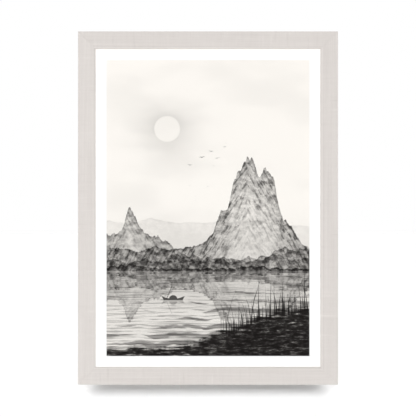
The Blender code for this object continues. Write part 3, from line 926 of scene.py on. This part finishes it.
# %% [markdown]
# ## Zinc-plated steel
#
# The hanger, its nails, the points that hold the board and the wedge nails across the mitres are cheap
# stamped steel, plated with zinc. Fresh zinc is bluish grey and rather bright. It mirrors only softly, and
# its crystals and the handling in the box leave patches about a millimetre across that differ a little in
# tint and in gloss.

# %% Zinc plate
ZINC = "#C6CACD"
ZINC_WARM = "#CBC6BA"


def zinc_plate():
    """Thin zinc on stamped steel."""
    material, tree = new_material("zinc_plated_steel")
    place = add(tree, "TexCoord").outputs["Object"]
    patches = add(tree, "TexNoise", (place, 1 / (1.4 * MM), 4, 0.65))
    tint = add(tree, "MapRange", (patches, 0.4, 0.7))
    colour = add(tree, "Mix", (tint, linear(ZINC), linear(ZINC_WARM)), data_type="RGBA")
    roughness = add(tree, "MapRange", (patches, 0.3, 0.7, 0.3, 0.48))
    relief = add(tree, "Bump", {"Strength": 0.2, "Distance": 0.03 * MM, "Height": patches})
    shader = add(
        tree,
        "BsdfPrincipled",
        {"Base Color": colour, "Metallic": 1, "Roughness": roughness, "Normal": relief},
    )
    add(tree, "OutputMaterial", (shader,))
    return material


ZINC_PLATE = zinc_plate()
PLATED = [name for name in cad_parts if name.startswith(("point_", "hanger_nail_", "sawtooth_"))]
for name in PLATED:
    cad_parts[name].data.materials[0] = ZINC_PLATE
print(len(PLATED), "packed pieces are zinc-plated")

# %% [markdown]
# ## Wedge nails
#
# A wedge nail is an angle of sheet steel, driven across a mitre from behind until it is flush. Only its rear
# edge shows, a small bright angle in the wood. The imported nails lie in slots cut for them, and the new rails
# have none, so the nails are made again and stand a few hundredths of a millimetre proud, as driven ones do.
# The outline is drawn once, extruded, and mirrored into each corner.

# %% Drive the wedge nails
WEDGE_THICKNESS = 0.8 * MM
PROUD = 0.06 * MM
NAIL_ROUNDING = 0.12 * MM


def wedge_nail(corner):
    """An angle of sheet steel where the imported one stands, with its rear edge slightly rounded."""
    low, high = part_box("wedge_nail_" + corner)
    reach, thick = high.x - low.x, WEDGE_THICKNESS
    outline = ((0, 0), (reach, 0), (reach, thick), (thick, thick), (thick, reach), (0, reach))
    bm = bmesh.new()
    tip = bm.faces.new([bm.verts.new((x, low.y, z)) for x, z in outline])
    driven = draw_out(bm, [tip], (0, BACK_Y + PROUD - low.y, 0))
    rim = [item for item in driven if isinstance(item, bmesh.types.BMEdge)]
    bmesh.ops.bevel(bm, geom=rim, offset=NAIL_ROUNDING, segments=2, profile=0.5, affect="EDGES", material=-1)

    start_x, turn_x = (high.x, -1) if "right" in corner else (low.x, 1)
    start_z, turn_z = (high.z, -1) if "top" in corner else (low.z, 1)
    bm.transform(Matrix.Translation((start_x, 0, start_z)) @ Matrix.Diagonal((turn_x, 1, turn_z, 1)))
    return bm


for corner in ("bottom_left", "bottom_right", "top_left", "top_right"):
    nail = "wedge_nail_" + corner
    finish_piece("mitre_" + nail, wedge_nail(corner), ZINC_PLATE, "zinc_plated_steel", nail)

# %% [markdown]
# ## Bumpers
#
# Two self-adhesive domes keep the frame's foot off the wall. They are moulded in clear polyurethane, which
# is soft and slightly hazy. The haze scatters about half of the light, so the dome looks pale, and the rest
# shows, bent, what lies under it. Half a section is drawn and spun about the dome's axis.

# %% Spin the bumpers
DOME_STEPS = 48
DOME_SHARE = 0.6  # how much of the radius is flat on top
SHOULDER_STEPS = 8


def clear_polyurethane():
    """Soft clear plastic with a hazy skin."""
    material, tree = new_material("clear_polyurethane")
    place = add(tree, "TexCoord").outputs["Object"]
    haze = add(tree, "TexNoise", (place, 1 / (1.2 * MM), 3, 0.6))
    roughness = add(tree, "MapRange", (haze, 0.3, 0.7, 0.12, 0.3))
    shader = add(
        tree,
        "BsdfPrincipled",
        {"Base Color": linear("#EFF0EE"), "Roughness": roughness, "IOR": 1.49, "Transmission Weight": 0.45},
    )
    add(tree, "OutputMaterial", (shader,))
    return material


def dome(node):
    """A dome with a flat top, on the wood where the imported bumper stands."""
    low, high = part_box(node)
    radius = (high.x - low.x) / 2
    flat = radius * DOME_SHARE
    shoulder = radius - flat
    quarter = [math.pi / 2 * n / SHOULDER_STEPS for n in range(SHOULDER_STEPS + 1)]
    profile = [(flat + shoulder * math.sin(a), high.y - shoulder * (1 - math.cos(a))) for a in quarter]
    profile = [(0, high.y), *profile, (radius, BACK_Y), (0, BACK_Y)]
    middle = (low + high) / 2
    bm = bmesh.new()
    points = [bm.verts.new((middle.x + out, y, middle.z)) for out, y in profile]
    section = [bm.edges.new(pair) for pair in zip(points, points[1:])]
    bmesh.ops.spin(
        bm,
        geom=points + section,
        cent=middle,
        axis=(0, 1, 0),
        angle=2 * math.pi,
        steps=DOME_STEPS,
        use_merge=True,
    )
    bmesh.ops.remove_doubles(bm, verts=bm.verts[:], dist=0.001 * MM)
    return bm


CLEAR_POLYURETHANE = clear_polyurethane()
for side in ("left", "right"):
    bumper = "bumper_" + side
    finish_piece("dome_" + side, dome(bumper), CLEAR_POLYURETHANE, "bumper_rubber", bumper)

# %% [markdown]
# ## Floor and backdrop
#
# The frame stands on a matt white floor in a white room. Both are so bright that the camera sees no horizon.
# To other rays they are darker: the frame is then lit more by its lamps than from all round, and its shadow
# keeps its depth. Only plated steel has to mirror something bright, or it would look black, so the rays that
# leave a rough, glossy surface see a good part of the white. The sharp reflection in the glass doesn't, and
# stays out of the picture. The Light Path node tells these rays apart.

# %% The floor and the world
FLOOR_SIZE = 30  # metres from its middle to its edge
FLOOR_SEEN = 0.9
FLOOR_BOUNCE = 0.05
FRONT_FILL = 0.1
BACK_FILL = 0.4
GLOSS_SHARE = 0.6


def by_ray(tree, otherwise, seen):
    """What the camera sees, and what other rays do. Rays from rough gloss are in between."""
    ray = add(tree, "LightPath").outputs
    rough = add(tree, "Math", (ray["Is Glossy Ray"], ray["Is Singular Ray"]), operation="SUBTRACT")
    rough = add(tree, "Math", (rough, GLOSS_SHARE), operation="MULTIPLY")
    share = add(tree, "Math", (ray["Is Camera Ray"], rough), operation="MAXIMUM")
    return add(tree, "Mix", (share, otherwise, seen), data_type="FLOAT")


floor_paint, tree = new_material("matt_white_floor")
surface = add(tree, "BsdfDiffuse", (by_ray(tree, FLOOR_BOUNCE, FLOOR_SEEN),))
add(tree, "OutputMaterial", (surface,))
bm = bmesh.new()
bmesh.ops.create_grid(bm, x_segments=1, y_segments=1, size=FLOOR_SIZE)
bmesh.ops.translate(bm, vec=(0, 0, FOOT_Z), verts=bm.verts[:])
floor = mesh_object("floor", bm, floor_paint)

world = bpy.data.worlds.new("white_room")
world.use_nodes = True
world.node_tree.nodes.clear()
bpy.context.scene.world = world
tree = world.node_tree
direction = add(tree, "SeparateXYZ", (add(tree, "TexCoord").outputs["Generated"],))
fill = add(tree, "MapRange", (direction.outputs["Y"], -0.6, 0.4, FRONT_FILL, BACK_FILL))
add(tree, "OutputWorld", (add(tree, "Background", ((1, 1, 1, 1), by_ray(tree, fill, 1))),))
bpy.context.scene.view_settings.view_transform = "Standard"

# %% [markdown]
# ## Lamps
#
# The key lamp stands in front, almost level with the frame's centre, so the lip throws no shadow on the
# print. The glass would mirror it into the camera. A photographer of pictures crosses two polarising filters
# to be rid of that, and here the lamp is simply not visible to glossy rays. Weaker lamps light the frame's
# sides, its back and its top.
#
# A lamp almost straight below, and just in front, stands for the light that a white floor throws up: it
# brightens the undersides of the rails, above all of the top one's lip. Shadow linking lets it through the
# floor.
#
# The floor has lamps of its own. They hang behind the frame in soft pairs, and the shadow of each pair ends
# at another distance in front of the frame's foot, so that the shadow fades out slowly. A lamp in front lifts
# its darkest part. Two strips on either side, softboxes with a honeycomb grid, wash out its ends. Light
# linking keeps these lamps off the frame, as black flags do in a studio, and the back lamp off the floor.
#
# All but the strips are suns, because their light doesn't fall off, and their angle sets the softness. A
# level is how bright the lamp makes a white surface that faces it, which is a sun's strength over pi.

# %% Key, side and back lamps
KEY_LEVEL = 1
SIDE_LEVEL = 0.35
BACK_LEVEL = 0.85
BELOW_LEVEL = 0.7


def sun(name, azimuth, elevation, angle, level, lit=None):
    """A sun lamp. Its azimuth is 0 in front and positive to the right, and all angles are degrees."""
    lamp = bpy.data.lights.new(name, "SUN")
    lamp.energy = level * math.pi
    lamp.angle = math.radians(angle)
    holder = new_object(name, lamp)
    holder.rotation_euler = (math.radians(90 - elevation), 0, math.radians(azimuth))
    holder.light_linking.receiver_collection = lit
    return holder


all_but_floor = bpy.data.collections.new("all_but_floor")
all_but_floor.objects.link(floor)
all_but_floor.collection_objects[0].light_linking.link_state = "EXCLUDE"

key = sun("key", 0, 0.5, 0.8, KEY_LEVEL)
key.visible_glossy = False
key.visible_transmission = False
sun("side_left", -90, 2, 3, SIDE_LEVEL)
sun("side_right", 90, 2, 3, SIDE_LEVEL)
sun("back", 180, 45, 20, BACK_LEVEL, all_but_floor)
only_rails = bpy.data.collections.new("only_rails")
for side, *_ in RAILS:
    only_rails.objects.link(bpy.data.objects["moulding_" + side])
below = sun("below", 0, -85, 2, BELOW_LEVEL, only_rails)
below.light_linking.blocker_collection = all_but_floor
print("key, side, back and lower levels:", KEY_LEVEL, SIDE_LEVEL, BACK_LEVEL, BELOW_LEVEL)

# %% The floor's lamps
# Elevation, half of what is between the two, and the level of each lamp on the floor.
FLOOR_LAMPS = ((76, 30, 0.033), (72, 6, 0.098), (64, 6, 0.123), (56, 1, 0.113))
FLOOR_SOFTNESS = 8  # degrees
FLOOR_FRONT_LEVEL = 0.14

only_floor = bpy.data.collections.new("only_floor")
only_floor.objects.link(floor)
for elevation, apart, floor_level in FLOOR_LAMPS:
    level = floor_level / math.sin(math.radians(elevation))
    sun(f"floor_left_{elevation}", 180 + apart, elevation, FLOOR_SOFTNESS, level, only_floor)
    sun(f"floor_right_{elevation}", 180 - apart, elevation, FLOOR_SOFTNESS, level, only_floor)
    print(f"floor lamps at {elevation} degrees: level {level:.2f}")
sun("floor_front", 0, 50, 9, FLOOR_FRONT_LEVEL, only_floor)

# %% The strips at the corners
STRIP_HEIGHT = 1  # metres over the floor
STRIP_OUTSIDE = 50 * MM  # how far its light reaches out past the frame's corner
# How far its light reaches in from the corner and out in front, how soft its edge is, and its level.
STRIPS = ((22.5 * MM, 320 * MM, 15 * MM, 0.37), (30 * MM, 150 * MM, 25 * MM, 0.165))


def strip(name, turn, inside, depth, softness, level):
    """A narrow softbox that lights one rectangle of the floor. turn is -1 on the left and 1 on the right."""
    lamp = bpy.data.lights.new(name, "AREA")
    lamp.shape = "RECTANGLE"
    lamp.size, lamp.size_y = STRIP_OUTSIDE + inside, depth
    lamp.energy = level * math.pi * lamp.size * lamp.size_y
    lamp.spread = 2 * math.atan(softness / STRIP_HEIGHT)
    holder = new_object(name, lamp)
    out = OUTER_WIDTH / 2 + (STRIP_OUTSIDE - inside) / 2
    holder.location = (turn * out, FRONT_Y - depth / 2, FOOT_Z + STRIP_HEIGHT)
    holder.visible_camera = False
    holder.light_linking.receiver_collection = only_floor


for n, facts in enumerate(STRIPS):
    strip(f"strip_left_{n}", -1, *facts)
    strip(f"strip_right_{n}", 1, *facts)
print(len(STRIPS), "strips on either side")

# %% [markdown]
# ## Camera
#
# The camera looks at the frame's centre, straight on, from five metres away. A long lens at that distance
# keeps the sides of the frame parallel and hides their thickness.

# %% The camera
CAMERA_DISTANCE = 5  # metres from the frame's face
SENSOR = 36  # millimetres, as is the lens
LENS = 328

lens = bpy.data.cameras.new("camera")
lens.sensor_width = SENSOR
lens.lens = LENS
camera = new_object("camera", lens)
camera.location = (0, FRONT_Y - CAMERA_DISTANCE, CENTRE.z)
camera.rotation_euler = (math.pi / 2, 0, 0)
bpy.context.scene.camera = camera
